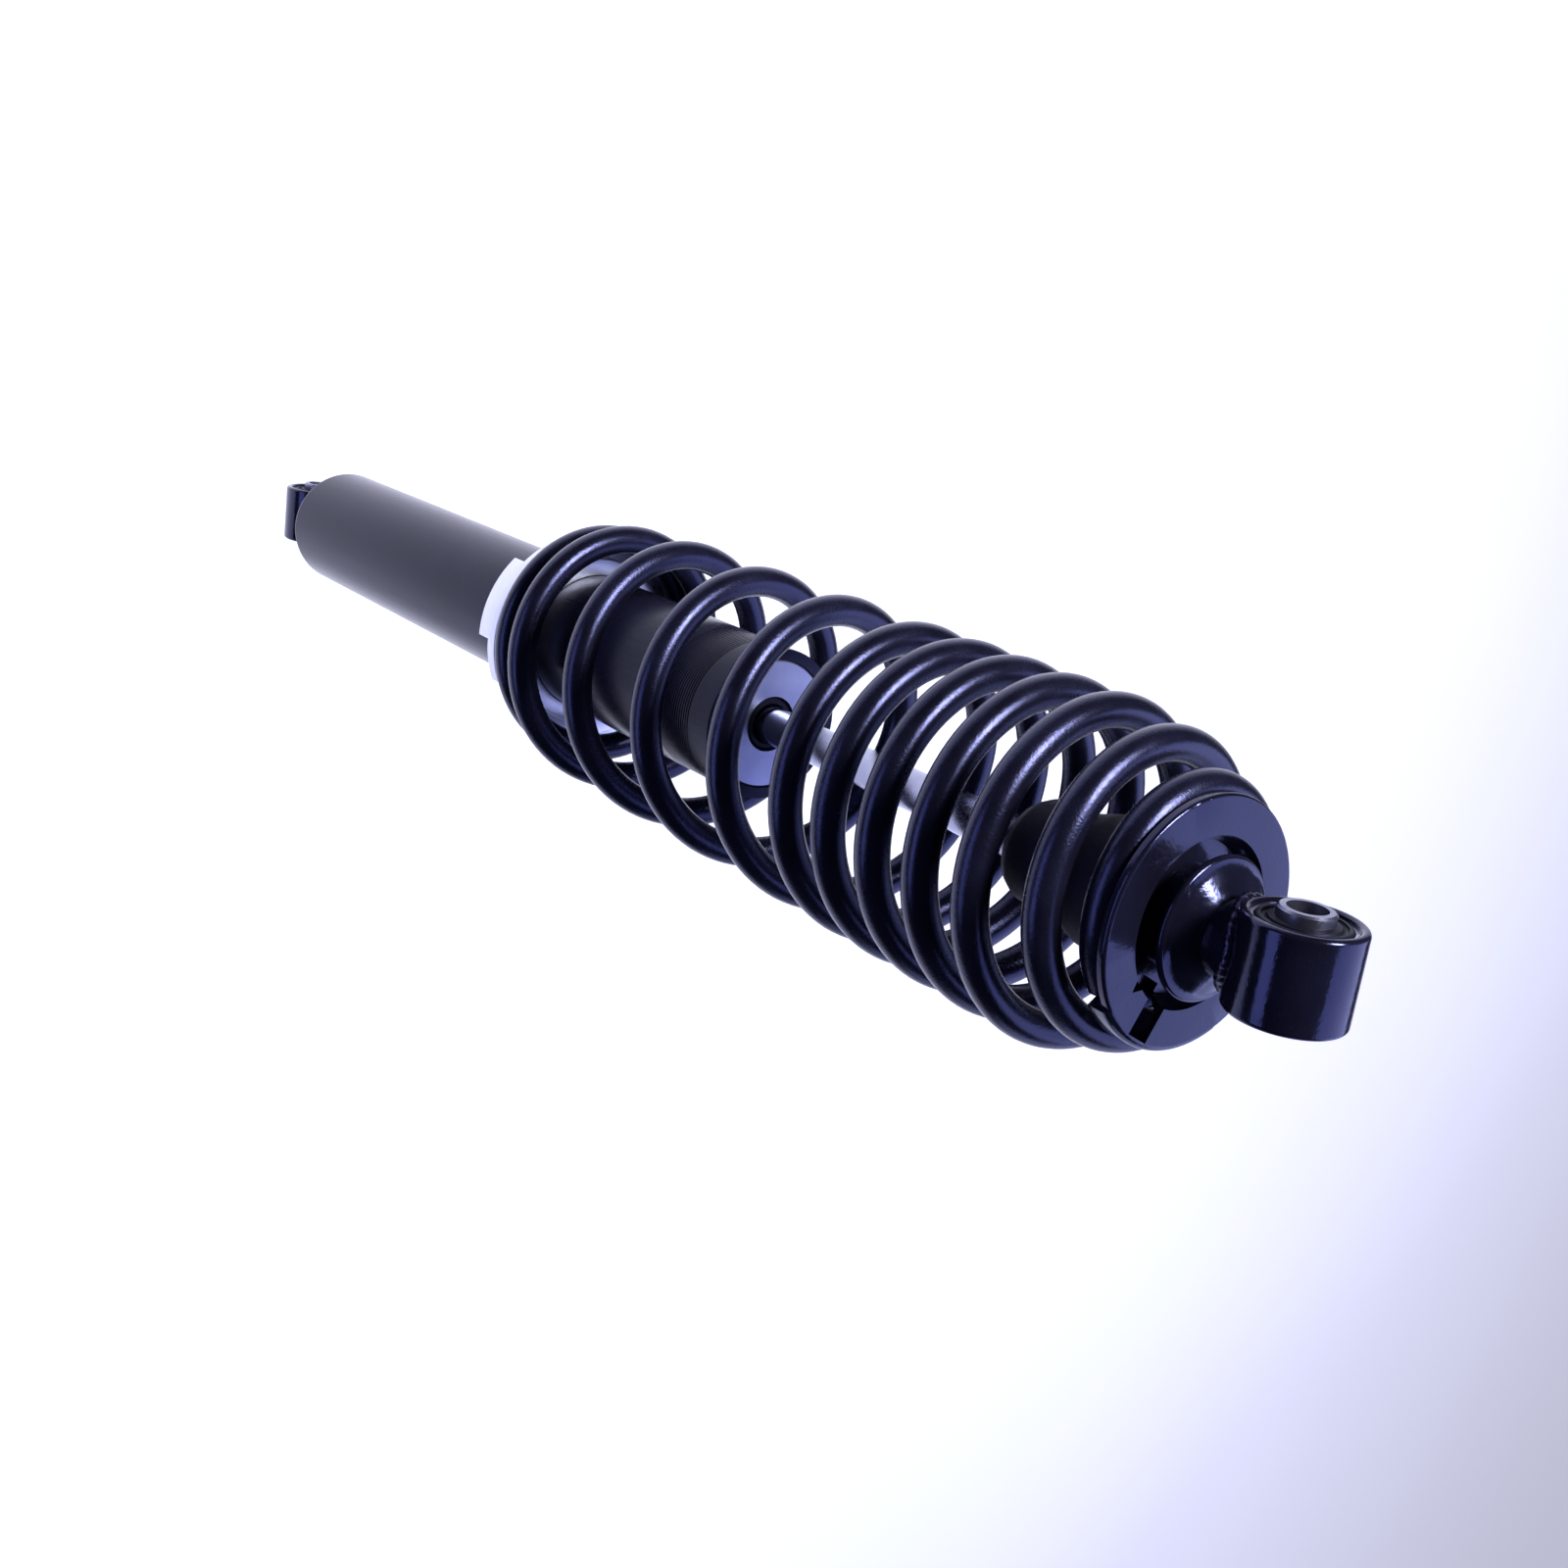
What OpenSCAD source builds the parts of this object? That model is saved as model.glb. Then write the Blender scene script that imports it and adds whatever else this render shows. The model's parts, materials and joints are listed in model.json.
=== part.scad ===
// Strut assembly: a coil-over damper with a rubber-bushed eye at each end.
// Origin at the centre of the lower eye, +X along both eye bolts, +Z along the
// strut toward the upper eye. Drawn fully extended, in millimetres.

/* [Overall] */
// Distance between the two eye centres
eye_span = 590.5; // [589.5:0.5:600]
// Radial clearance between parts that slide or turn on each other
running = 0.05; // [0.04:0.01:0.08]

/* [Eyes and bushes] */
// Outer radius of the eye barrel
eye_radius = 15.4; // [15:0.1:16]
// Length of the eye barrel along the bolt
eye_length = 25.2; // [24:0.1:26]
// Bore radius of the eye barrel
eye_bore = 12.9; // [12.8:0.1:13.2]
// Radius of the barrel's rounded rims
eye_rim = 1.4; // [1:0.1:1.8]
// Outer radius of the inner sleeve
sleeve_radius = 7.2; // [7:0.1:7.5]
// Length of the inner sleeve
sleeve_length = 30; // [29:0.5:32]
// Radius of the bolt hole, clearance for an M10 bolt
bolt_hole = 5.1; // [5.1:0.05:5.3]
// Radius of the neck behind each eye
neck_radius = 10.5; // [10:0.5:11.5]

/* [Damper tube] */
// Outer radius of the damper tube
tube_radius = 25.4; // [25:0.1:25.8]
// Wall thickness of the damper tube
tube_wall = 3.6; // [3:0.1:4]
// Height of the rounded foot where the end cap meets the eye neck
cap_foot = 31.7; // [30:0.1:33]
// Radius of the rounded edge at the foot
foot_round = 4; // [3:0.5:5]
// Height of the open end of the tube
tube_head = 378.4; // [377:0.1:379]
// Height of the smooth lip above the fine ribs
lip_height = 10.4; // [9:0.1:12]
// Height of the band of fine ribs
rib_band = 20; // [16:1:24]
// Distance from rib to rib
rib_pitch = 1.25; // [1.25:0.25:2]
// Depth of the grooves between ribs
rib_depth = 0.3; // [0.2:0.05:0.4]

/* [Spring seat and collar] */
// Height of the face the spring stands on
seat_face = 261.3; // [260:0.1:262]
// Radius of the seat plate
seat_radius = 38; // [37.5:0.1:38.2]
// Thickness of the seat plate
seat_plate = 2.8; // [2.5:0.1:3.2]
// Outer radius of the castellated collar
collar_radius = 40; // [39.5:0.1:40.5]
// Height of the collar's rim
collar_band = 5.3; // [5:0.1:6]
// Height of the lugs under the rim
lug_height = 7; // [6:0.1:7.5]
// Number of lugs
lug_count = 3; // [3:1:4]
// Angle each lug covers
lug_angle = 46; // [40:1:50]
// Direction in which the first lug is centred
lug_centre = 67.5; // [60:0.5:75]
// Angle each notch in the rim covers
notch_width = 29; // [20:1:30]

/* [Coil spring] */
// Wire radius
wire_radius = 5; // [4.8:0.1:5.2]
// Direction in which turn zero lies
spring_phase = -18.1; // [-25:0.1:0]
// Turn at which the wire starts
first_turn = 0.74; // [0.74:0.02:0.9]
// Turn at which the wire ends
last_turn = 12.4; // [12.3:0.02:12.4]
// Centreline radius of the first turn
low_coil = 38.4; // [38:0.1:39]
// Distance by which the first turn sits off the strut axis
low_lean = 1.5; // [0:0.1:1.5]
// Centreline radius of the body
body_coil = 43.4; // [43:0.1:44]
// Centreline radius one turn before the end
high_coil = 33; // [32:0.1:34]
// Centreline radius at the end
end_coil = 27.5; // [27:0.1:28]
// Pitch of the wide middle turns
wide_pitch = 42.9; // [40:0.1:45]
// Pitch of the close upper turns
close_pitch = 19.5; // [18:0.1:21]

/* [Rod end] */
// Piston rod radius
rod_radius = 6.25; // [6:0.05:6.5]
// Distance from the upper eye centre down to the retainer's face
face_drop = 28.8; // [28:0.1:30]
// Radius of the retainer's plate
retainer_radius = 34; // [33.6:0.1:34.4]
// Thickness of the retainer's plate
retainer_plate = 2.4; // [2:0.1:2.8]
// Radius of the block that stops the end of the wire
block_radius = 35; // [34.5:0.1:35.5]
// Height of that block, face included
block_height = 7; // [6:0.5:7]
// Radius of the hole in the retainer
retainer_hole = 23.3; // [23:0.1:24]
// Width of the slot in the retainer
slot_width = 8; // [7:0.5:9]
// Radius at which the slot ends
slot_reach = 32.9; // [32:0.1:33]
// Direction in which the slot points
slot_angle = 151.6; // [140:0.1:160]
// Direction in which the small V notch points
notch_angle = 127; // [120:1:130]
// Radius of the conical cup under the upper eye
dome_radius = 19.5; // [19:0.1:20]
// Length of the bump stop
stop_length = 48; // [40:1:50]
// Radius of the bump stop's upper part
stop_radius = 18.7; // [18:0.1:19]
// Radius of the bump stop's tip
stop_tip = 15; // [14:0.5:16]

/* [Hidden] */
$fn = 96;
slack = 1;
shell_wall = 1;
tube_bore = tube_radius - tube_wall;
tube_foot = cap_foot + foot_round;
rib_high = tube_head - lip_height;
rib_low = rib_high - rib_band;
face = eye_span - face_drop;
plate_low = face - retainer_plate;
plate_edge = 1;
block_low = face - block_height;
block_edge = 2.2;
shelf_top = face - 5.4;
shelf_low = shelf_top - 3;
washer = 2;
stop_top = shelf_low - washer;
stop_low = stop_top - stop_length;
dome_low = face + 2.3;
dome_top = face + 9.3;
dome_edge = 1.2;
rod_top = dome_top - 1;
seat_low = seat_face - seat_plate;
collar_low = seat_face - collar_band;
lug_low = collar_low - lug_height;
ring_gap = 0.1;
ring_height = 2;
ring_top = lug_low - ring_gap;
ring_groove = 1.2;
ring_reach = 2.2;
cap_plug = 11.3;
valve_low = tube_foot + cap_plug;
valve_feet = 4;
valve_flange = 7;
valve_spigot = 8;
inner_radius = 16;
inner_outer = 18;
inner_low = valve_low + valve_feet + valve_flange;
guide_low = tube_head - 26.4;
guide_top = tube_head - 6.2;
guide_spigot = 7;
o_ring = 1;
o_ring_height = guide_top - 5;
bush_wall = 1.2;
bush_low = guide_low - guide_spigot + slack;
bush_top = guide_low + 9;
seal_radius = 9.3;
seal_low = bush_top + slack;
seal_top = tube_head - 0.6;
cap_top = tube_head - 0.2;
bumper_top = guide_low - guide_spigot - 0.3;
bumper_height = 8;
stop_collar = 4;
rod_groove = 1;
stop_collar_low = bumper_top - bumper_height - stop_collar;
piston_height = 14;
piston_top = stop_collar_low - 12;
piston_low = piston_top - piston_height;
band_height = 8;
band_wall = 1.6;
shim_height = 1.4;
tenon_radius = 5;
passage_circle = 8.5;
passage_radius = 1.3;
passage_count = 6;
nut_height = 8;
nut_radius = 8.4;

// Pitch just above the first turn, and the turns at which the pitch starts and stops changing.
low_pitch = 13;
rise_turn = 0.8;
low_from = 1.1;
low_to = 1.9;
wide_from = 2.7;
wide_to = 5.23;
close_from = 6.47;
close_to = 11.33;
spring_low = seat_face + wire_radius;
spring_high = plate_low - wire_radius - running;
lean_direction = 20;
wire_sides = 12;
turn_steps = 32;

dark = [0.09, 0.09, 0.12];
steel = [0.62, 0.64, 0.68];
zinc = [0.78, 0.79, 0.86];
rubber = [0.05, 0.05, 0.05];

// ---------- shared shapes ----------

// A plain ring about the strut axis.
module ring(outer, inner, low, high) {
    translate([0, 0, low])
        difference() {
            cylinder(r = outer, h = high - low);
            translate([0, 0, -slack]) cylinder(r = inner, h = high - low + 2 * slack);
        }
}

// Turns a shape drawn about +Z so that it lies along the bolt of the eye at this height.
module about_bolt(height) {
    translate([0, 0, height]) rotate([0, 90, 0]) children();
}

// A bar about +Z, centred on the origin, with rounded rims.
module rounded_bar(radius, length, edge) {
    rotate_extrude()
        intersection() {
            union() {
                square([radius - edge, length], center = true);
                square([2 * radius, length - 2 * edge], center = true);
                for (side = [-1, 1])
                    translate([radius - edge, side * (length / 2 - edge)]) circle(r = edge);
            }
            translate([0, -length]) square([radius, 2 * length]);
        }
}

// The solid space inside the eye barrel's outer surface.
module barrel_space(height) {
    about_bolt(height) cylinder(r = eye_radius, h = eye_length, center = true);
}

// Small round holes on a circle about the strut axis.
module passages(count, circle_radius, hole, low, high) {
    for (i = [0 : count - 1])
        rotate([0, 0, i * 360 / count])
            translate([circle_radius, 0, low]) cylinder(r = hole, h = high - low);
}

// ---------- eyes and their bushes ----------

module eye(height) {
    color(dark) about_bolt(height)
        difference() {
            rounded_bar(eye_radius, eye_length, eye_rim);
            cylinder(r = eye_bore, h = 2 * eye_length, center = true);
        }
}

module bush_shell(height) {
    color(steel) about_bolt(height)
        difference() {
            cylinder(r = eye_bore, h = eye_length - 2 * eye_rim, center = true);
            cylinder(r = eye_bore - shell_wall, h = 2 * eye_length, center = true);
        }
}

module bush_rubber(height) {
    end_gap = 0.3;
    groove = 1.2;
    groove_radius = 9.6;
    color(rubber) about_bolt(height)
        difference() {
            cylinder(r = eye_bore - shell_wall, h = eye_length - 2 * end_gap, center = true);
            cylinder(r = sleeve_radius + running, h = 2 * eye_length, center = true);
            for (side = [-1, 1])
                translate([0, 0, side * (eye_length / 2 - end_gap)])
                    rotate_extrude() translate([groove_radius, 0]) circle(r = groove);
        }
}

module sleeve(height) {
    chamfer = 0.6;
    half = sleeve_length / 2;
    color(steel) about_bolt(height)
        rotate_extrude()
            polygon([
                [bolt_hole, -half], [sleeve_radius - chamfer, -half],
                [sleeve_radius, -half + chamfer], [sleeve_radius, half - chamfer],
                [sleeve_radius - chamfer, half], [bolt_hole, half]
            ]);
}

module neck_weld(height, side) {
    bead = 2.2;
    color(dark)
        difference() {
            translate([0, 0, height + side * (eye_radius - bead / 2)])
                rotate_extrude() translate([neck_radius + bead / 4, 0]) circle(r = bead);
            translate([0, 0, height - eye_span])
                cylinder(r = neck_radius, h = 2 * eye_span);
            barrel_space(height);
        }
}

// ---------- damper tube and what is fixed to it ----------

module strut_tube() {
    rib_count = floor(rib_band / rib_pitch);
    color(dark)
        difference() {
            ring(tube_radius, tube_bore, tube_foot, tube_head);
            for (i = [0 : rib_count - 1])
                ring(tube_radius + slack, tube_radius - rib_depth,
                     rib_low + i * rib_pitch, rib_low + (i + 0.5) * rib_pitch);
            ring(tube_radius + slack, tube_radius - ring_groove, ring_top - ring_height, ring_top);
        }
}

// End cap without its neck: a rounded foot with a plug that fills the tube's bore.
module cap_body() {
    rotate_extrude()
        union() {
            translate([0, tube_foot]) square([tube_bore, cap_plug]);
            translate([0, cap_foot]) square([tube_radius - foot_round, foot_round]);
            intersection() {
                translate([tube_radius - foot_round, tube_foot]) circle(r = foot_round);
                translate([0, cap_foot]) square([tube_radius, foot_round]);
            }
        }
}

module end_cap() {
    pocket_radius = 9;
    pocket_depth = 6;
    color(dark)
        difference() {
            union() {
                cap_body();
                cylinder(r = neck_radius, h = cap_foot + slack);
            }
            barrel_space(0);
            translate([0, 0, -eye_radius]) cylinder(r = 2 * eye_radius, h = eye_radius);
            translate([0, 0, valve_low - pocket_depth])
                cylinder(r = pocket_radius, h = pocket_depth + slack);
        }
}

module seat_snap_ring() {
    gap_angle = 20;
    color(steel)
        translate([0, 0, ring_top - ring_height])
            rotate([0, 0, gap_angle / 2])
                rotate_extrude(angle = 360 - gap_angle)
                    translate([tube_radius - ring_groove, 0])
                        square([ring_groove + ring_reach, ring_height]);
}

// The same sector cut out of a ring at every lug pitch, centred on this direction.
module ring_gaps(centre, angle, inner, outer, low, high) {
    for (i = [0 : lug_count - 1])
        rotate([0, 0, centre - angle / 2 + i * 360 / lug_count])
            translate([0, 0, low])
                rotate_extrude(angle = angle)
                    translate([inner, 0]) square([outer - inner, high - low]);
}

module preload_collar() {
    between = lug_centre + 180 / lug_count;
    notch_depth = 2.5;
    color(zinc)
        difference() {
            ring(collar_radius, tube_radius + running, lug_low, seat_face - ring_gap);
            translate([0, 0, seat_low - ring_gap])
                cylinder(r = seat_radius + running, h = seat_plate + slack);
            ring_gaps(between, 360 / lug_count - lug_angle, tube_radius - slack,
                      collar_radius + slack, lug_low - slack, collar_low);
            ring_gaps(between, notch_width, collar_radius - notch_depth,
                      collar_radius + slack, collar_low - slack, seat_face + slack);
        }
}

module spring_seat() {
    pilot_radius = 31.4;
    pilot_height = 3;
    color(zinc)
        union() {
            ring(seat_radius, tube_radius, seat_low, seat_face);
            ring(pilot_radius, tube_radius, seat_low, seat_face + pilot_height);
        }
}

module pressure_tube() {
    color(steel) ring(inner_outer, inner_radius, inner_low, guide_low);
}

module base_valve_body() {
    foot_count = 6;
    foot_gap = 5;
    feet_top = valve_low + valve_feet;
    color(steel)
        difference() {
            union() {
                difference() {
                    ring(inner_outer, inner_radius - 2, valve_low, feet_top + slack);
                    for (i = [0 : foot_count / 2 - 1])
                        rotate([0, 0, (i + 0.5) * 360 / foot_count])
                            translate([0, 0, valve_low - slack + (valve_feet + slack) / 2])
                                cube([3 * inner_outer, foot_gap, valve_feet + slack], center = true);
                }
                translate([0, 0, feet_top]) cylinder(r = inner_outer, h = valve_flange);
                translate([0, 0, feet_top]) cylinder(r = inner_radius, h = valve_flange + valve_spigot);
            }
            translate([0, 0, valve_low]) cylinder(r = tenon_radius - 2, h = 2 * valve_flange + valve_spigot);
            passages(passage_count, passage_circle, passage_radius,
                     valve_low, inner_low + valve_spigot + slack);
        }
}

module base_valve_shims() {
    shim_radius = 11;
    low = inner_low + valve_spigot;
    color(steel) ring(shim_radius, tenon_radius - 2, low, low + shim_height);
}

module base_valve_bolt() {
    low = valve_low + valve_feet;
    head_low = inner_low + valve_spigot + shim_height;
    nut = 3.5;
    head = 4;
    head_radius = 5.5;
    color(steel)
        union() {
            translate([0, 0, low - nut]) cylinder(r = head_radius, h = nut, $fn = 6);
            translate([0, 0, low - nut]) cylinder(r = tenon_radius - 2, h = head_low - low + nut + slack);
            translate([0, 0, head_low]) cylinder(r = head_radius, h = head);
        }
}

module rod_guide() {
    color(steel)
        difference() {
            union() {
                ring(tube_bore, rod_radius + bush_wall + running, guide_low, guide_top);
                ring(inner_radius, rod_radius + bush_wall + running,
                     guide_low - guide_spigot, guide_low + slack);
            }
            translate([0, 0, seal_low]) cylinder(r = seal_radius, h = guide_top);
            o_ring_groove();
        }
}

module o_ring_groove() {
    ring(tube_bore + slack, tube_bore - 2 * o_ring,
         o_ring_height - o_ring, o_ring_height + o_ring);
}

module guide_o_ring() {
    color(rubber)
        translate([0, 0, o_ring_height])
            rotate_extrude() translate([tube_bore - o_ring, 0]) circle(r = o_ring);
}

module guide_bush() {
    color(steel)
        ring(rod_radius + running + bush_wall, rod_radius + running, bush_low, bush_top);
}

module rod_seal() {
    lip = 1.2;
    color(rubber)
        translate([0, 0, seal_low])
            rotate_extrude()
                polygon([
                    [rod_radius + running, 0], [seal_radius, 0],
                    [seal_radius, seal_top - seal_low - lip],
                    [seal_radius - lip, seal_top - seal_low],
                    [rod_radius + running + lip / 2, seal_top - seal_low],
                    [rod_radius + running, seal_top - seal_low - lip]
                ]);
}

module gland_cap() {
    chamfer = 0.8;
    color(zinc)
        translate([0, 0, guide_top])
            rotate_extrude()
                polygon([
                    [seal_radius, 0], [tube_bore, 0], [tube_bore, cap_top - guide_top - chamfer],
                    [tube_bore - chamfer, cap_top - guide_top], [seal_radius, cap_top - guide_top]
                ]);
}

// ---------- coil spring ----------

// Length of a ramp from one turn to another that has been climbed at this turn.
function climbed(turn, from, to) = min(max(turn - from, 0), to - from);

// Rise over a stretch of turns whose pitch changes evenly from one value to another.
function stretch(turn, from, to, pitch_a, pitch_b) =
    let (x = climbed(turn, from, to))
    pitch_a * x + (pitch_b - pitch_a) * x * x / (2 * (to - from));

function raw_rise(turn) =
    stretch(turn, rise_turn, low_from, 0, low_pitch)
    + stretch(turn, low_from, low_to, low_pitch, low_pitch)
    + stretch(turn, low_to, wide_from, low_pitch, wide_pitch)
    + stretch(turn, wide_from, wide_to, wide_pitch, wide_pitch)
    + stretch(turn, wide_to, close_from, wide_pitch, close_pitch)
    + stretch(turn, close_from, close_to, close_pitch, close_pitch)
    + stretch(turn, close_to, last_turn, close_pitch, 0);

function coil_height(turn) =
    spring_low + raw_rise(turn) * (spring_high - spring_low) / raw_rise(last_turn);

// Goes smoothly from 0 to 1 between two turns.
function ease(turn, from, to) =
    let (x = climbed(turn, from, to) / (to - from)) x * x * (3 - 2 * x);

// How far the off-centre first turn moves the wire outward at this turn.
function lean(turn) =
    low_lean * cos(spring_phase + 360 * turn - lean_direction) * (1 - ease(turn, 1, 2.8));

function coil_radius(turn) =
    low_coil + lean(turn) + (body_coil - low_coil) * ease(turn, 1, 2.8)
    - (body_coil - high_coil) * ease(turn, 10.4, 12.1)
    - (high_coil - end_coil) * ease(turn, 12, last_turn);

// A point on the wire's surface: side is the angle around the wire.
function wire_point(turn, side) =
    let (phi = spring_phase + 360 * turn, r = coil_radius(turn) + wire_radius * cos(side))
    [r * cos(phi), r * sin(phi), coil_height(turn) + wire_radius * sin(side)];

module coil_spring() {
    steps = ceil((last_turn - first_turn) * turn_steps);
    points = [
        for (i = [0 : steps], j = [0 : wire_sides - 1])
            wire_point(first_turn + (last_turn - first_turn) * i / steps, j * 360 / wire_sides)
    ];
    walls = [
        for (i = [0 : steps - 1], j = [0 : wire_sides - 1])
            let (k = (j + 1) % wire_sides, a = i * wire_sides, b = a + wire_sides)
            each [[a + j, a + k, b + k], [a + j, b + k, b + j]]
    ];
    start = [for (j = [wire_sides - 1 : -1 : 0]) j];
    end = [for (j = [0 : wire_sides - 1]) steps * wire_sides + j];
    color(dark) polyhedron(points = points, faces = concat(walls, [start, end]), convexity = 20);
}

// ---------- rod, piston and rod end ----------

module piston_rod() {
    tip = piston_low - shim_height - nut_height - 2;
    shoulder = piston_top + shim_height;
    chamfer = 1;
    color(steel)
        rotate_extrude()
            polygon([
                [0, tip], [tenon_radius - chamfer, tip], [tenon_radius, tip + chamfer],
                [tenon_radius, shoulder], [rod_radius, shoulder],
                [rod_radius, stop_collar_low], [rod_radius - rod_groove, stop_collar_low],
                [rod_radius - rod_groove, stop_collar_low + stop_collar],
                [rod_radius, stop_collar_low + stop_collar],
                [rod_radius, rod_top - chamfer], [rod_radius - chamfer, rod_top], [0, rod_top]
            ]);
}

module rebound_stop_ring() {
    stop_ring_radius = 10;
    color(steel)
        ring(stop_ring_radius, rod_radius - rod_groove, stop_collar_low, stop_collar_low + stop_collar);
}

module rebound_bumper() {
    low = stop_collar_low + stop_collar;
    bumper_radius = 12;
    chamfer = 1.5;
    color(rubber)
        rotate_extrude()
            polygon([
                [rod_radius, low], [bumper_radius - chamfer, low], [bumper_radius, low + chamfer],
                [bumper_radius, bumper_top - chamfer], [bumper_radius - chamfer, bumper_top],
                [rod_radius, bumper_top]
            ]);
}

module piston() {
    side_gap = 0.3;
    color(steel)
        difference() {
            ring(inner_radius - side_gap, tenon_radius, piston_low, piston_top);
            ring(inner_radius, inner_radius - band_wall,
                 piston_low + (piston_height - band_height) / 2,
                 piston_top - (piston_height - band_height) / 2);
            passages(passage_count, passage_circle, passage_radius, piston_low - slack, piston_top + slack);
        }
}

module piston_band() {
    margin = (piston_height - band_height) / 2;
    color(dark)
        ring(inner_radius - running, inner_radius - band_wall, piston_low + margin, piston_top - margin);
}

module compression_shims() {
    shim_radius = 10.5;
    color(steel) ring(shim_radius, tenon_radius, piston_top, piston_top + shim_height);
}

module rebound_shims() {
    shim_radius = 11.5;
    color(steel) ring(shim_radius, tenon_radius, piston_low - shim_height, piston_low);
}

module piston_nut() {
    low = piston_low - shim_height - nut_height;
    color(steel)
        difference() {
            translate([0, 0, low]) cylinder(r = nut_radius, h = nut_height, $fn = 6);
            translate([0, 0, low - slack]) cylinder(r = tenon_radius, h = nut_height + 2 * slack);
        }
}

module bump_stop() {
    waist = stop_tip - 1.2;
    chamfer = 1;
    tip_round = 3;
    tip_height = 12;
    waist_height = 15;
    cone_low = 19;
    cone_high = 28;
    color(rubber)
        rotate_extrude()
            polygon([
                [rod_radius, stop_low], [stop_tip - tip_round / 2, stop_low],
                [stop_tip, stop_low + tip_round], [stop_tip, stop_low + tip_height],
                [waist, stop_low + waist_height], [stop_tip + chamfer, stop_low + cone_low],
                [stop_radius, stop_low + cone_high], [stop_radius, stop_top - chamfer],
                [stop_radius - chamfer, stop_top], [rod_radius, stop_top]
            ]);
}

module bump_stop_washer() {
    color(steel) ring(stop_radius, rod_radius, stop_top, shelf_low);
}

// Sector of a revolved outline, from one direction to another.
module sector(from, to) {
    rotate([0, 0, from]) rotate_extrude(angle = to - from) children();
}

// Outline of a flat ring with a rounded upper outer edge, from the strut axis outward.
module rounded_plate(inner, outer, low, high, edge) {
    difference() {
        union() {
            translate([inner, low]) square([outer - inner, high - low - edge]);
            translate([inner, low]) square([outer - inner - edge, high - low]);
            translate([outer - edge, high - edge]) circle(r = edge);
        }
        translate([outer - 2 * edge - slack, low - 2 * edge - slack])
            square([2 * edge + 2 * slack, 2 * edge + slack]);
    }
}

// The slot and the V notch in the retainer's face.
module retainer_cuts() {
    notch_tip = 26.2;
    notch_half = 2.6;
    depth = 2 * block_height;
    rotate([0, 0, slot_angle])
        translate([shelf_top - face + retainer_hole, -slot_width / 2, face - block_height - slack])
            cube([slot_reach - shelf_top + face - retainer_hole, slot_width, depth]);
    rotate([0, 0, notch_angle])
        translate([0, 0, plate_low - slack])
            linear_extrude(depth)
                polygon([[retainer_hole - 1, -notch_half], [notch_tip, 0], [retainer_hole - 1, notch_half]]);
}

module spring_retainer() {
    shelf_hole = 8;
    shelf_radius = 20.6;
    wall = 1.6;
    block_inner = 25.5;
    block_from = 126.4;
    block_to = 205;
    color(dark)
        difference() {
            union() {
                rotate_extrude() {
                    rounded_plate(retainer_hole, retainer_radius, plate_low, face, plate_edge);
                    polygon([
                        [shelf_hole, shelf_low], [shelf_radius + wall / 2, shelf_low],
                        [shelf_radius + wall, shelf_top], [retainer_hole + wall, plate_low],
                        [retainer_hole + wall, plate_low + slack], [retainer_hole, plate_low + slack],
                        [shelf_radius, shelf_top], [shelf_hole, shelf_top]
                    ]);
                }
                sector(block_from, block_to)
                    rounded_plate(block_inner, block_radius, block_low, face, block_edge);
            }
            retainer_cuts();
        }
}

// A stem under a conical cap with a rounded rim, without the blind bore and the neck.
module dome_body() {
    stem_radius = 14;
    rim = dome_radius - dome_edge;
    rotate_extrude()
        union() {
            polygon([
                [0, shelf_top], [stem_radius, shelf_top], [stem_radius, dome_low], [rim, dome_low],
                [rim, dome_low + 2 * dome_edge], [neck_radius, dome_top], [0, dome_top]
            ]);
            translate([rim, dome_low + dome_edge]) circle(r = dome_edge);
        }
}

module dome_cup() {
    color(dark)
        difference() {
            union() {
                dome_body();
                translate([0, 0, shelf_top])
                    cylinder(r = neck_radius, h = eye_span - shelf_top - eye_radius / 2);
            }
            barrel_space(eye_span);
            translate([0, 0, eye_span]) cylinder(r = 2 * eye_radius, h = eye_radius);
            translate([0, 0, shelf_top - slack]) cylinder(r = rod_radius, h = rod_top - shelf_top + slack);
        }
}

strut_tube();
end_cap();
neck_weld(0, 1);  // lower_neck_weld
eye(0);  // lower_eye
bush_shell(0);  // lower_bush_shell
bush_rubber(0);  // lower_bush_rubber
sleeve(0);  // lower_sleeve
seat_snap_ring();
preload_collar();
spring_seat();
pressure_tube();
base_valve_body();
base_valve_shims();
base_valve_bolt();
rod_guide();
guide_bush();
guide_o_ring();
rod_seal();
gland_cap();
coil_spring();
piston_rod();
rebound_stop_ring();
rebound_bumper();
piston();
piston_band();
compression_shims();
rebound_shims();
piston_nut();
bump_stop();
bump_stop_washer();
spring_retainer();
dome_cup();
neck_weld(eye_span, -1);  // eye_weld
eye(eye_span);  // upper_eye
bush_shell(eye_span);  // upper_bush_shell
bush_rubber(eye_span);  // upper_bush_rubber
sleeve(eye_span);  // upper_sleeve
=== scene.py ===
"""Looks of the strut assembly: materials, a fine coil spring, weld beads, eye bushes and studio light.

Lengths are in metres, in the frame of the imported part: origin at the lower eye, +Z toward the upper eye.
"""

import json
import math

import bpy
from mathutils import Matrix, Vector


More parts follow.
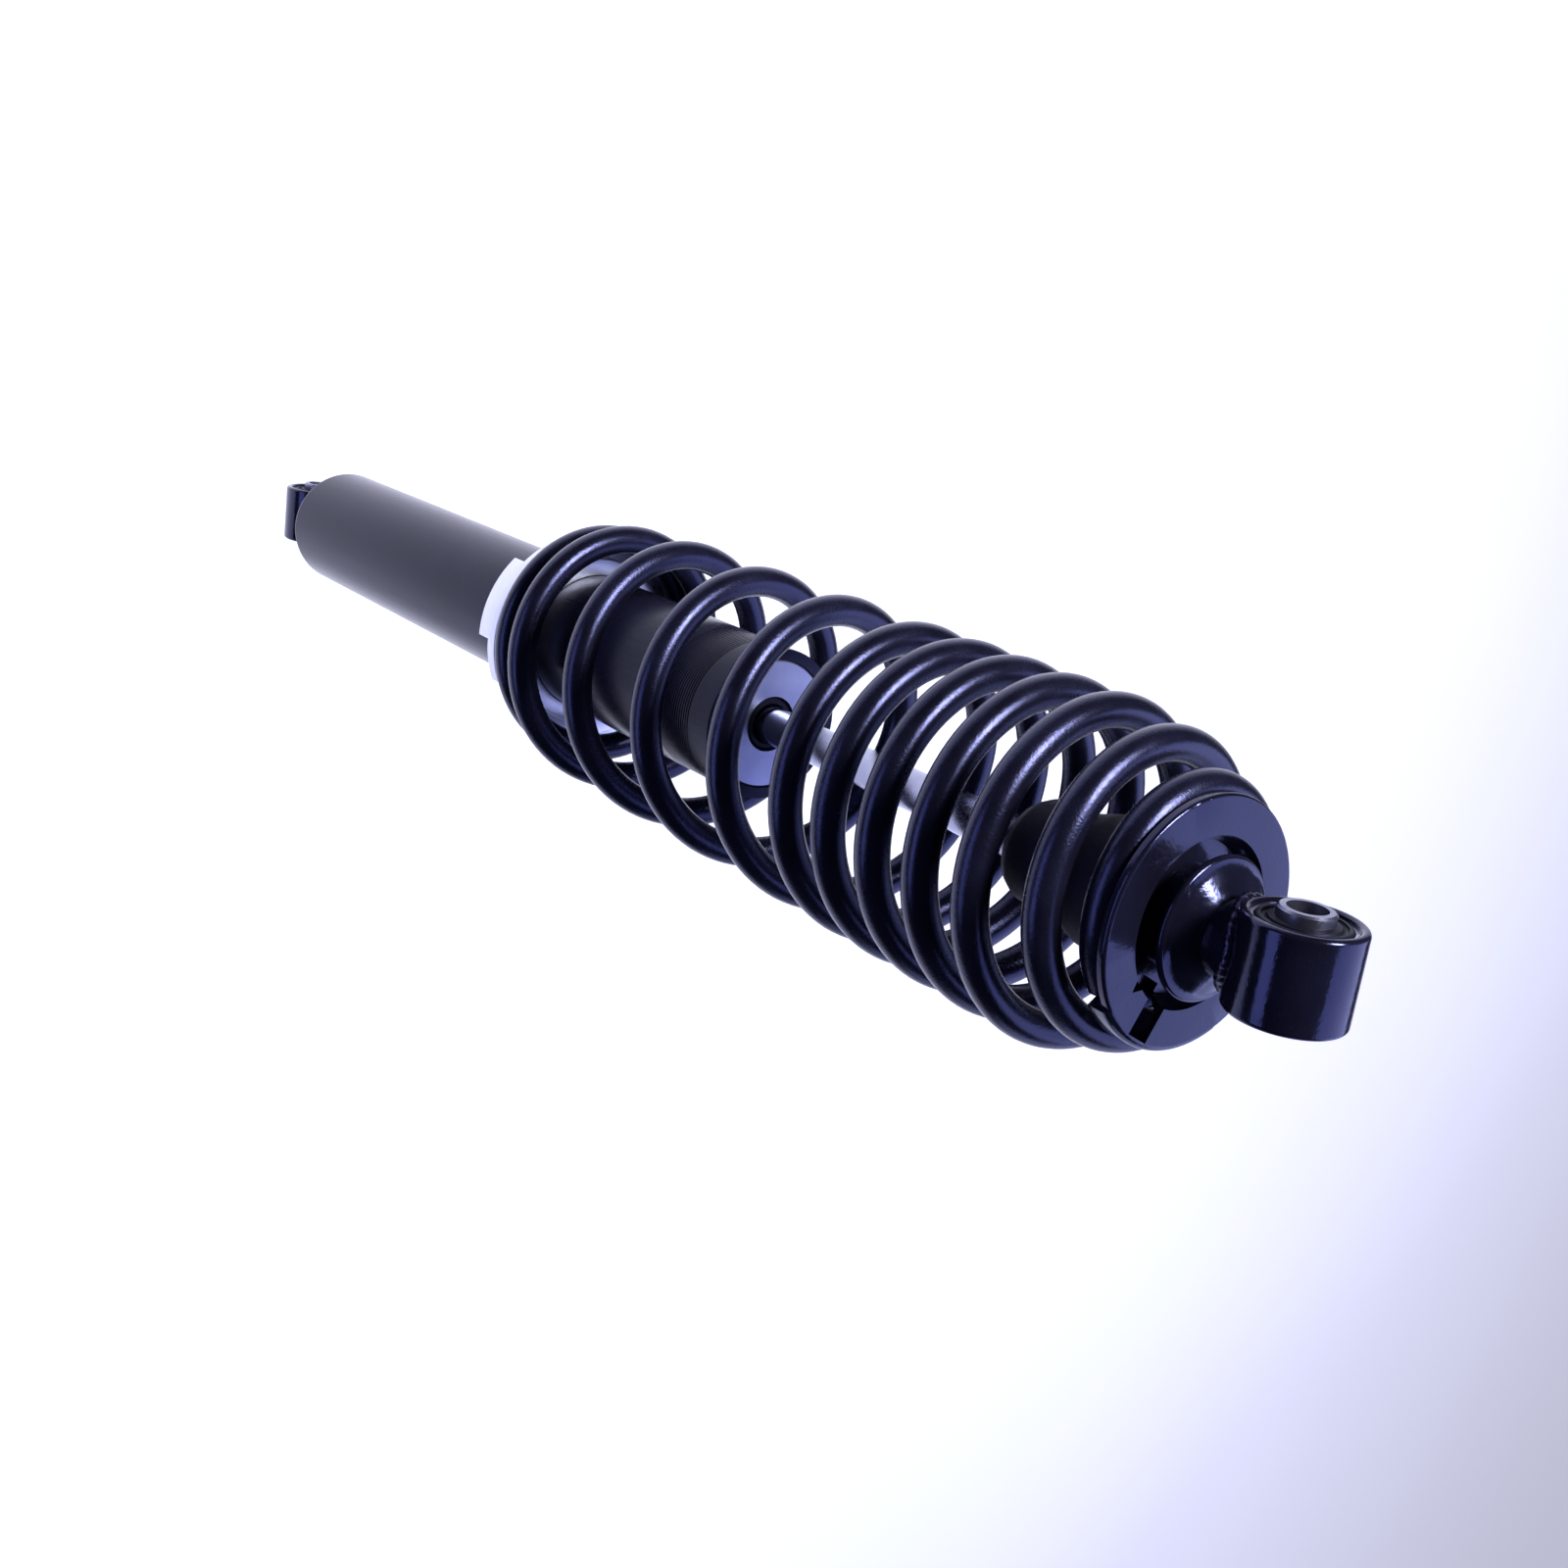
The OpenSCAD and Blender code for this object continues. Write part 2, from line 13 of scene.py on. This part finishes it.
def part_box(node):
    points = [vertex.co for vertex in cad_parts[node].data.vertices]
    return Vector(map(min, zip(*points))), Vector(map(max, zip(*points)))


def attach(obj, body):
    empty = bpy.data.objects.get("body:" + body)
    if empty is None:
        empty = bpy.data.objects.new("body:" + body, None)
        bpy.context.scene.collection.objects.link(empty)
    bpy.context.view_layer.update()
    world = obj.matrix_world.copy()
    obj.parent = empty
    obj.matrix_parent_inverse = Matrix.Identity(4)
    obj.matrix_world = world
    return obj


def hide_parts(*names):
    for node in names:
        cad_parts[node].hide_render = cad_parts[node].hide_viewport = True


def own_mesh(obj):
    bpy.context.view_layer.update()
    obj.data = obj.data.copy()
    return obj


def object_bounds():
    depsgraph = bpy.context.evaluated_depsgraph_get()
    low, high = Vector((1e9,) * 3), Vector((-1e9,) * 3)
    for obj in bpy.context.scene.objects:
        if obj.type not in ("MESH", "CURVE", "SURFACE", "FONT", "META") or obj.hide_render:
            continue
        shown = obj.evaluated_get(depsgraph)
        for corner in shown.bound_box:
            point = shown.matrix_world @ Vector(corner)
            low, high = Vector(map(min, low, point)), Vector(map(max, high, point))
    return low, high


MM = 0.001

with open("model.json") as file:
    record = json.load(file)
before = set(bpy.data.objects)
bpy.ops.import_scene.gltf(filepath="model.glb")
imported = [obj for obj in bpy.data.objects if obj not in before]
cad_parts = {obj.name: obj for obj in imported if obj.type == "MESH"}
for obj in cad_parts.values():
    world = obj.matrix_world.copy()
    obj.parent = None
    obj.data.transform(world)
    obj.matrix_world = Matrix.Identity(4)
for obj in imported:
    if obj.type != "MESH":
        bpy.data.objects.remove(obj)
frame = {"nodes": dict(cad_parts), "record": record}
cad_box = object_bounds()
record = frame["record"]
mounts = {mount["name"]: mount for mount in record["mounts"]}
lower_eye = Vector(mounts["lower_eye_bolt"]["pos_m"])
upper_eye = Vector(mounts["upper_eye_bolt"]["pos_m"])


# ---------- camera ----------

def place_camera():
    """Looks down the strut from beyond its upper eye, rolled so that both bolts point up the picture."""
    lens = 40.58
    sensor = 36.0
    place = Vector((0.1378, 0.3455, 0.8209))
    back = Vector((0.2697, 0.6019, 0.7516)).normalized()
    up = Vector((0.9534, -0.0574, -0.2961))
    right = up.cross(back).normalized()
    up = back.cross(right)
    data = bpy.data.cameras.new("camera")
    data.lens = lens
    data.sensor_width = sensor
    data.clip_start = 0.01
    camera = bpy.data.objects.new("camera", data)
    turn = Matrix((right, up, back)).transposed().to_4x4()
    camera.matrix_world = Matrix.Translation(place) @ turn
    bpy.context.collection.objects.link(camera)
    bpy.context.scene.camera = camera


# ---------- node helpers ----------

class Graph:
    """A material's node tree, with short calls for the nodes used here."""

    def __init__(self, name):
        self.material = bpy.data.materials.new(name)
        self.material.use_nodes = True
        self.nodes = self.material.node_tree.nodes
        self.links = self.material.node_tree.links
        self.shader = self.nodes["Principled BSDF"]
        self.place = self.nodes.new("ShaderNodeTexCoord").outputs["Object"]

    def set(self, **values):
        for name, value in values.items():
            self.shader.inputs[name.replace("_", " ")].default_value = value

    def noise(self, scale, detail=3.0, roughness=0.5, source=None):
        node = self.nodes.new("ShaderNodeTexNoise")
        node.inputs["Scale"].default_value = scale
        node.inputs["Detail"].default_value = detail
        node.inputs["Roughness"].default_value = roughness
        self.links.new(source or self.place, node.inputs["Vector"])
        return node.outputs["Fac"]

    def stretched(self, along_x, along_y, along_z):
        node = self.nodes.new("ShaderNodeMapping")
        node.inputs["Scale"].default_value = (along_x, along_y, along_z)
        self.links.new(self.place, node.inputs["Vector"])
        return node.outputs["Vector"]

    def ramp(self, source, stops):
        node = self.nodes.new("ShaderNodeValToRGB")
        while len(node.color_ramp.elements) < len(stops):
            node.color_ramp.elements.new(0.5)
        for element, (at, colour) in zip(node.color_ramp.elements, stops):
            element.position = at
            element.color = (*colour, 1.0)
        self.links.new(source, node.inputs["Fac"])
        return node.outputs["Color"]

    def span(self, source, low, high, at_low=0.3, at_high=0.7):
        node = self.nodes.new("ShaderNodeMapRange")
        node.inputs["From Min"].default_value = at_low
        node.inputs["From Max"].default_value = at_high
        node.inputs["To Min"].default_value = low
        node.inputs["To Max"].default_value = high
        self.links.new(source, node.inputs["Value"])
        return node.outputs["Result"]

    def mix(self, factor, first, second):
        node = self.nodes.new("ShaderNodeMix")
        node.data_type = "RGBA"
        self.links.new(factor, node.inputs[0])
        for socket, value in ((node.inputs[6], first), (node.inputs[7], second)):
            if isinstance(value, tuple):
                socket.default_value = (*value, 1.0)
            else:
                self.links.new(value, socket)
        return node.outputs[2]

    def math(self, operation, first, second):
        node = self.nodes.new("ShaderNodeMath")
        node.operation = operation
        for socket, value in zip(node.inputs, (first, second)):
            if isinstance(value, (int, float)):
                socket.default_value = value
            else:
                self.links.new(value, socket)
        return node.outputs["Value"]

    def colour(self, source):
        self.links.new(source, self.shader.inputs["Base Color"])

    def rough(self, source):
        self.links.new(source, self.shader.inputs["Roughness"])

    def bump(self, source, height, strength=1.0):
        node = self.nodes.new("ShaderNodeBump")
        node.inputs["Strength"].default_value = strength
        node.inputs["Distance"].default_value = height
        self.links.new(source, node.inputs["Height"])
        self.links.new(node.outputs["Normal"], self.shader.inputs["Normal"])
        return node


# ---------- materials ----------

BLACK = (0.0035, 0.0035, 0.008)
NAVY = (0.007, 0.007, 0.018)
INDIGO = (0.013, 0.014, 0.034)
BLUE_GLOSS = (0.44, 0.47, 1.0, 1.0)


def gloss_paint(name):
    """Gloss black paint over steel: faint orange peel, dust specks and uneven gloss."""
    g = Graph(name)
    g.set(IOR=1.56, Specular_Tint=BLUE_GLOSS)
    cloud = g.noise(60.0, 4.0)
    dust = g.noise(2600.0, 2.0)
    base = g.mix(g.span(cloud, 0.0, 1.0), BLACK, NAVY)
    g.colour(g.mix(g.span(dust, 0.0, 0.3, 0.68, 0.78), base, (0.06, 0.06, 0.09)))
    g.rough(g.span(g.noise(150.0, 5.0), 0.09, 0.19))
    g.bump(g.noise(900.0, 2.0), 0.00004)
    return g.material


def tube_paint(name):
    """Satin black paint on the drawn tube, with fine streaks along it."""
    g = Graph(name)
    g.set(IOR=1.25, Specular_Tint=BLUE_GLOSS)
    streaks = g.noise(30.0, 4.0, 0.6, g.stretched(40.0, 40.0, 1.5))
    cloud = g.noise(45.0, 4.0)
    base = g.mix(g.span(cloud, 0.0, 1.0), NAVY, INDIGO)
    g.colour(g.mix(g.span(streaks, 0.0, 0.4), base, BLACK))
    g.rough(g.math("ADD", g.span(streaks, 0.16, 0.22), g.span(g.noise(700.0), 0.0, 0.04)))
    g.bump(g.math("ADD", g.noise(1500.0, 2.0), g.math("MULTIPLY", streaks, 0.3)), 0.000005)
    return g.material


def powder_coat(name):
    """Black powder coat on the spring, with the orange peel that breaks up its highlights."""
    g = Graph(name)
    g.set(IOR=1.56, Specular_Tint=BLUE_GLOSS)
    cloud = g.noise(70.0, 4.0)
    grain = g.noise(1500.0, 3.0, 0.6)
    base = g.mix(g.span(cloud, 0.0, 1.0), BLACK, NAVY)
    g.colour(g.mix(g.span(grain, 0.0, 0.3, 0.6, 0.75), base, INDIGO))
    g.rough(g.math("ADD", g.span(cloud, 0.17, 0.24), g.span(grain, 0.0, 0.07)))
    g.bump(grain, 0.00010, 0.8)
    return g.material


def zinc_plate(name, light, middle, dark):
    """Bright zinc plating: cool silver with cloudy lavender patches and fine turning marks."""
    g = Graph(name)
    g.set(Metallic=0.85)
    cloud = g.noise(90.0, 5.0)
    marks = g.noise(120.0, 3.0, 0.6, g.stretched(1.0, 1.0, 30.0))
    base = g.mix(g.span(cloud, 0.0, 1.0), middle, light)
    g.colour(g.mix(g.span(marks, 0.0, 0.3), base, dark))
    g.rough(g.math("ADD", g.span(cloud, 0.26, 0.38), g.span(marks, 0.0, 0.08)))
    g.bump(g.math("ADD", marks, g.noise(2200.0)), 0.00003)
    return g.material


def machined(name, light, dark, low_rough=0.2, high_rough=0.36, metallic=0.95):
    """Turned or ground metal: tool marks, stains and slightly uneven polish."""
    g = Graph(name)
    g.set(Metallic=metallic)
    stain = g.noise(110.0, 5.0, 0.6)
    marks = g.noise(400.0, 3.0, 0.6, g.stretched(12.0, 1.0, 12.0))
    g.colour(g.mix(g.span(stain, 0.0, 1.0), light, dark))
    g.rough(g.math("ADD", g.span(stain, low_rough, high_rough), g.span(marks, 0.0, 0.06)))
    g.bump(marks, 0.00002)
    return g.material


def chrome(name):
    """Ground hard chrome with a faint oil haze."""
    g = Graph(name)
    g.set(Metallic=1.0)
    haze = g.noise(80.0, 4.0)
    grind = g.noise(600.0, 2.0, 0.5, g.stretched(1.0, 1.0, 8.0))
    g.colour(g.mix(g.span(haze, 0.0, 1.0), (0.38, 0.40, 0.52), (0.31, 0.32, 0.43)))
    g.rough(g.math("ADD", g.span(haze, 0.06, 0.14), g.span(grind, 0.0, 0.04)))
    g.bump(grind, 0.000008)
    return g.material


def moulded_rubber(name, tone=(0.006, 0.006, 0.010), grain=0.00006):
    """Black moulded rubber with a dry bloom and a fine skin."""
    g = Graph(name)
    g.set(IOR=1.3, Specular_Tint=BLUE_GLOSS)
    bloom = g.noise(140.0, 5.0, 0.65)
    skin = g.noise(1900.0, 3.0, 0.6)
    g.colour(g.mix(g.span(bloom, 0.0, 0.8), tone, (0.008, 0.008, 0.014)))
    g.rough(g.math("ADD", g.span(bloom, 0.38, 0.55), g.span(skin, 0.0, 0.08)))
    g.bump(skin, grain)
    return g.material


def weld_paint(name):
    """Gloss paint over a rough weld, with small spatter under it."""
    g = Graph(name)
    g.set(IOR=1.7, Specular_Tint=BLUE_GLOSS)
    lumps = g.noise(700.0, 4.0, 0.6)
    g.colour(g.mix(g.span(lumps, 0.0, 1.0), BLACK, NAVY))
    g.rough(g.span(lumps, 0.06, 0.2))
    g.bump(lumps, 0.0003)
    return g.material


def filled_plastic(name):
    """Low-friction band plastic with bronze flecks."""
    g = Graph(name)
    fleck = g.noise(1800.0, 2.0)
    g.colour(g.ramp(fleck, ((0.0, (0.05, 0.05, 0.05)), (0.62, (0.09, 0.09, 0.08)), (0.7, (0.28, 0.2, 0.1)))))
    g.rough(g.span(fleck, 0.4, 0.55))
    g.bump(fleck, 0.00002)
    return g.material


MATERIALS = {
    "painted_black": gloss_paint("painted_black"),
    "tube_black": tube_paint("tube_black"),
    "spring_black": powder_coat("spring_black"),
    "weld_black": weld_paint("weld_black"),
    "zinc": zinc_plate("zinc", (0.84, 0.86, 0.98), (0.74, 0.76, 0.94), (0.60, 0.62, 0.82)),
    # cap_zinc is the zinc above made much darker: painted shade for the gland cap, standing in for the shade
    # and blocked reflections from the spring and retainer around it
    "cap_zinc": zinc_plate("cap_zinc", (0.34, 0.36, 0.54), (0.28, 0.30, 0.47), (0.23, 0.25, 0.40)),
    "steel": machined("steel", (0.52, 0.53, 0.60), (0.36, 0.37, 0.44)),
    "sleeve_steel": machined("sleeve_steel", (0.27, 0.28, 0.38), (0.16, 0.16, 0.22), 0.22, 0.34),
    "rod_chrome": chrome("rod_chrome"),
    "guide_alloy": machined("guide_alloy", (0.66, 0.67, 0.72), (0.5, 0.51, 0.56)),
    "bush_bronze": machined("bush_bronze", (0.52, 0.36, 0.2), (0.34, 0.23, 0.13)),
    "seal_rubber": moulded_rubber("seal_rubber", (0.005, 0.005, 0.009), 0.00002),
    "bush_rubber": moulded_rubber("bush_rubber"),
    "bump_foam": moulded_rubber("bump_foam", (0.004, 0.004, 0.007), 0.00012),
    "band_plastic": filled_plastic("band_plastic"),
}


# ---------- CAD nodes ----------

def soften(obj, width, angle=38.0):
    """Small bevels and split normals, so that edges catch the light and flat faces stay flat."""
    weld = obj.modifiers.new("weld", "WELD")
    weld.merge_threshold = 0.000002
    if width:
        bevel = obj.modifiers.new("bevel", "BEVEL")
        bevel.width = width
        bevel.segments = 3
        bevel.limit_method = "ANGLE"
        bevel.angle_limit = math.radians(angle)
        bevel.use_clamp_overlap = True
    split = obj.modifiers.new("split", "EDGE_SPLIT")
    split.split_angle = math.radians(angle)


BEVELS = {"preload_collar": 0.0003, "spring_seat": 0.0003}


def dress_cad():
    for part in record["subparts"]:
        obj = frame["nodes"][part["node"]]
        obj.data.materials.clear()
        obj.data.materials.append(MATERIALS[part["material_slot"]])
        for polygon in obj.data.polygons:
            polygon.use_smooth = True
        soften(obj, BEVELS.get(part["node"], 0.0))


# ---------- mesh pieces ----------

def make_piece(name, points, faces, slot):
    mesh = bpy.data.meshes.new(name)
    mesh.from_pydata([tuple(p) for p in points], [], faces)
    mesh.validate()
    mesh.update()
    for polygon in mesh.polygons:
        polygon.use_smooth = True
    mesh.materials.append(MATERIALS[slot])
    obj = bpy.data.objects.new(name, mesh)
    bpy.context.collection.objects.link(obj)
    return obj


def grid_faces(rows, sides, closed_rows):
    """Quads of a tube made of rows of points; the last row joins the first if closed_rows."""
    faces = []
    for i in range(rows if closed_rows else rows - 1):
        a = i * sides
        b = ((i + 1) % rows) * sides
        for j in range(sides):
            k = (j + 1) % sides
            faces.append((a + j, a + k, b + k, b + j))
    return faces


# ---------- coil spring ----------

WIRE = 5.0 * MM
PHASE = math.radians(-18.1)
FIRST_TURN = 0.74
LAST_TURN = 12.4
RISE_TURN = 0.8
LOW_FROM = 1.1
LOW_TO = 1.9
WIDE_FROM = 2.7
WIDE_TO = 5.23
CLOSE_FROM = 6.47
CLOSE_TO = 11.33
LOW_PITCH = 13.0 * MM
WIDE_PITCH = 42.9 * MM
CLOSE_PITCH = 19.5 * MM
LOW_COIL = 38.4 * MM
LOW_LEAN = 1.5 * MM
LEAN_DIRECTION = math.radians(20.0)
BODY_COIL = 43.4 * MM
HIGH_COIL = 33.0 * MM
END_COIL = 27.5 * MM
SWELL_FROM = 1.0
SWELL_TO = 2.8
NARROW_FROM = 10.4
NARROW_TO = 12.1
TUCK_FROM = 12.0


def stretch(turn, start, end, pitch_a, pitch_b):
    """Rise over a stretch of turns whose pitch changes evenly."""
    x = min(max(turn - start, 0.0), end - start)
    return pitch_a * x + (pitch_b - pitch_a) * x * x / (2 * (end - start))


def raw_rise(turn):
    return (
        stretch(turn, RISE_TURN, LOW_FROM, 0.0, LOW_PITCH)
        + stretch(turn, LOW_FROM, LOW_TO, LOW_PITCH, LOW_PITCH)
        + stretch(turn, LOW_TO, WIDE_FROM, LOW_PITCH, WIDE_PITCH)
        + stretch(turn, WIDE_FROM, WIDE_TO, WIDE_PITCH, WIDE_PITCH)
        + stretch(turn, WIDE_TO, CLOSE_FROM, WIDE_PITCH, CLOSE_PITCH)
        + stretch(turn, CLOSE_FROM, CLOSE_TO, CLOSE_PITCH, CLOSE_PITCH)
        + stretch(turn, CLOSE_TO, LAST_TURN, CLOSE_PITCH, 0.0)
    )


def ease(turn, start, end):
    x = min(max((turn - start) / (end - start), 0.0), 1.0)
    return x * x * (3 - 2 * x)


def lean(turn):
    """How far the off-centre first turn moves the wire outward."""
    outward = math.cos(PHASE + 2 * math.pi * turn - LEAN_DIRECTION)
    return LOW_LEAN * outward * (1 - ease(turn, SWELL_FROM, SWELL_TO))


def coil_radius(turn):
    return (
        LOW_COIL
        + lean(turn)
        + (BODY_COIL - LOW_COIL) * ease(turn, SWELL_FROM, SWELL_TO)
        - (BODY_COIL - HIGH_COIL) * ease(turn, NARROW_FROM, NARROW_TO)
        - (HIGH_COIL - END_COIL) * ease(turn, TUCK_FROM, LAST_TURN)
    )


def make_spring():
    """The wire as one swept tube, with softened cut ends."""
    sides = 28
    steps_per_turn = 90
    cut_round = 0.6 * MM
    low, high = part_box("coil_spring")
    base = low[2] + WIRE
    lift = (high[2] - low[2] - 2 * WIRE) / raw_rise(LAST_TURN)
    steps = round((LAST_TURN - FIRST_TURN) * steps_per_turn)

    def centre(turn):
        phi = PHASE + 2 * math.pi * turn
        r = coil_radius(turn)
        return Vector((r * math.cos(phi), r * math.sin(phi), base + raw_rise(turn) * lift))

    def ring_at(turn, radius):
        nudge = 0.002
        phi = PHASE + 2 * math.pi * turn
        along = (centre(turn + nudge) - centre(turn - nudge)).normalized()
        out = Vector((math.cos(phi), math.sin(phi), 0.0))
        up = along.cross(out).normalized()
        if up.z < 0:
            up = -up
        out = (out - along * out.dot(along)).normalized()
        middle = centre(turn)
        turns = [2 * math.pi * j / sides for j in range(sides)]
        return [middle + out * radius * math.cos(t) + up * radius * math.sin(t) for t in turns]

    end_step = cut_round / (2 * math.pi * END_COIL)
    stations = [(FIRST_TURN, WIRE - cut_round), (FIRST_TURN + end_step, WIRE)]
    for i in range(1, steps):
        stations.append((FIRST_TURN + (LAST_TURN - FIRST_TURN) * i / steps, WIRE))
    stations += [(LAST_TURN - end_step, WIRE), (LAST_TURN, WIRE - cut_round)]
    points = [p for turn, radius in stations for p in ring_at(turn, radius)]
    faces = grid_faces(len(stations), sides, False)
    count = len(points)
    faces.append(tuple(range(sides)))
    faces.append(tuple(range(count - 1, count - sides - 1, -1)))
    spring = make_piece("coil_spring_wire", points, faces, "spring_black")
    split = spring.modifiers.new("split", "EDGE_SPLIT")
    split.split_angle = math.radians(50)
    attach(spring, "tube")
    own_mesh(spring)
    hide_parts("coil_spring")


# ---------- weld beads ----------

def make_weld(name, node, eye, side, body):
    """A rippled bead along the saddle where the neck meets the eye barrel. side is -1 below the eye."""
    sides = 16
    steps = 220
    ripples = 27
    valley = 0.86
    ripple_height = 0.16
    bead = 2.1 * MM
    barrel = 15.4 * MM
    path = 11.0 * MM
    points = []
    for i in range(steps):
        theta = 2 * math.pi * i / steps
        wave = (theta * ripples / (2 * math.pi)) % 1.0
        size = bead * (valley + ripple_height * math.sin(math.pi * wave))
        size *= 1 + 0.06 * math.sin(3 * theta + 1.0) + 0.04 * math.sin(7 * theta)
        run = path + 0.25 * MM * math.sin(5 * theta + 0.6)
        x = run * math.cos(theta)
        y = run * math.sin(theta)
        z = eye.z + side * (math.sqrt(barrel * barrel - y * y) + 0.3 * MM)
        out = Vector((math.cos(theta), math.sin(theta), 0.0))
        for j in range(sides):
            t = 2 * math.pi * j / sides
            points.append(Vector((x, y, z)) + out * size * math.cos(t) + Vector((0, 0, size * math.sin(t))))
    weld = make_piece(name, points, grid_faces(steps, sides, True), "weld_black")
    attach(weld, body)
    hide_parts(node)


# ---------- eye bushes ----------

def lathe_x(name, outline, centre, slot, steps=96):
    """Turns a closed outline of (radius, distance along the bolt) about the bolt axis."""
    points = []
    for i in range(steps):
        a = 2 * math.pi * i / steps
        for radius, along in outline:
            points.append(centre + Vector((along, radius * math.cos(a), radius * math.sin(a))))
    sides = len(outline)
    return make_piece(name, points, grid_faces(steps, sides, True), slot)


def arc(centre_r, centre_x, radius, start, end, steps=6):
    """Points of an arc in an outline; angles in degrees, 0 pointing outward."""
    turns = [math.radians(start + (end - start) * i / steps) for i in range(steps + 1)]
    return [(centre_r + radius * math.cos(t), centre_x + radius * math.sin(t)) for t in turns]


def make_rubber(name, node, centre, body):
    """Bonded rubber: a raised ring between two moulded grooves, and a fillet up the sleeve."""
    bore = 7.28 * MM
    outer = 11.88 * MM
    face = 12.0 * MM
    half = arc(10.9 * MM, face - 1.0 * MM, 0.9 * MM, 0, 90)
    half += arc(9.5 * MM, face - 0.1 * MM, 0.8 * MM, 0, -180)
    half += [(8.2 * MM, face), (7.7 * MM, face + 0.25 * MM), (bore, face + 0.3 * MM)]
    mirrored = [(r, -x) for r, x in reversed(half)]
    outline = [(outer, 0.0)] + half + mirrored
    rubber = lathe_x(name, outline, centre, "bush_rubber")
    soften(rubber, 0.0, 50.0)
    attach(rubber, body)
    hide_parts(node)


# ---------- stage ----------

def make_floor():
    """A plain pale sheet well below the strut, ending in front of it."""
    drop = 0.55
    half = 6.0
    front = 1.2
    z = cad_box[0][2] - drop
    corners = [(-half, -half, z), (half, -half, z), (half, front, z), (-half, front, z)]
    mesh = bpy.data.meshes.new("floor")
    mesh.from_pydata(corners, [], [(0, 1, 2, 3)])
    floor = bpy.data.objects.new("floor", mesh)
    bpy.context.collection.objects.link(floor)
    g = Graph("floor_pale")
    glow = (0.74, 0.74, 1.0, 1.0)
    g.set(Roughness=0.9, Emission_Color=glow, Emission_Strength=0.5)
    g.colour(g.mix(g.span(g.noise(3.0), 0.0, 1.0), (0.86, 0.86, 0.87), (0.88, 0.88, 0.89)))
    mesh.materials.append(g.material)


def add_light(name, place, aim, size_x, size_y, power, colour):
    data = bpy.data.lights.new(name, "AREA")
    data.shape = "RECTANGLE"
    data.size = size_x
    data.size_y = size_y
    data.energy = power
    data.color = colour
    light = bpy.data.objects.new(name, data)
    back = (Vector(place) - Vector(aim)).normalized()
    light.matrix_world = Matrix.Translation(Vector(place)) @ back.to_track_quat("Z", "Y").to_matrix().to_4x4()
    bpy.context.collection.objects.link(light)


def make_surround():
    """A room that looks white behind the strut and nearly dark in its reflections."""
    dim = (0.024, 0.026, 0.04, 1.0)
    pale = (1.0, 1.0, 1.0, 1.0)
    world = bpy.data.worlds.new("surround")
    world.use_nodes = True
    background = world.node_tree.nodes["Background"]
    seen = world.node_tree.nodes.new("ShaderNodeLightPath").outputs["Is Camera Ray"]
    choice = world.node_tree.nodes.new("ShaderNodeMix")
    choice.data_type = "RGBA"
    choice.inputs[6].default_value = dim
    choice.inputs[7].default_value = pale
    world.node_tree.links.new(seen, choice.inputs[0])
    world.node_tree.links.new(choice.outputs[2], background.inputs["Color"])
    bpy.context.scene.world = world


def make_light():
    """A key box above, a wide dim card behind, a wall at the side and a low strip in front."""
    middle = Vector((0.0, 0.0, 0.45))
    blue = (0.50, 0.55, 1.0)
    add_light("key_box", middle + 2.2 * Vector((0.54, -0.21, 0.82)), middle, 0.7, 0.7, 90.0, (1.0, 1.0, 1.0))
    add_light("back_card", middle + 2.0 * Vector((-0.30, -0.67, 0.68)), middle, 2.2, 2.4, 36.0, blue)
    add_light("side_wall", middle + 2.3 * Vector((-0.82, -0.54, 0.05)), middle, 2.4, 0.9, 9.0, blue)
    add_light("low_strip", middle + Vector((0.0, 2.2, -0.3)), middle, 2.5, 0.8, 16.0, blue)


place_camera()
dress_cad()
make_spring()
make_weld("eye_weld_bead", "eye_weld", upper_eye, -1, "rod")
make_weld("lower_neck_weld_bead", "lower_neck_weld", lower_eye, 1, "tube")
make_rubber("upper_bush_rubber_moulding", "upper_bush_rubber", upper_eye, "rod")
make_rubber("lower_bush_rubber_moulding", "lower_bush_rubber", lower_eye, "tube")
make_floor()
make_surround()
make_light()
bpy.context.scene.view_settings.view_transform = "Standard"
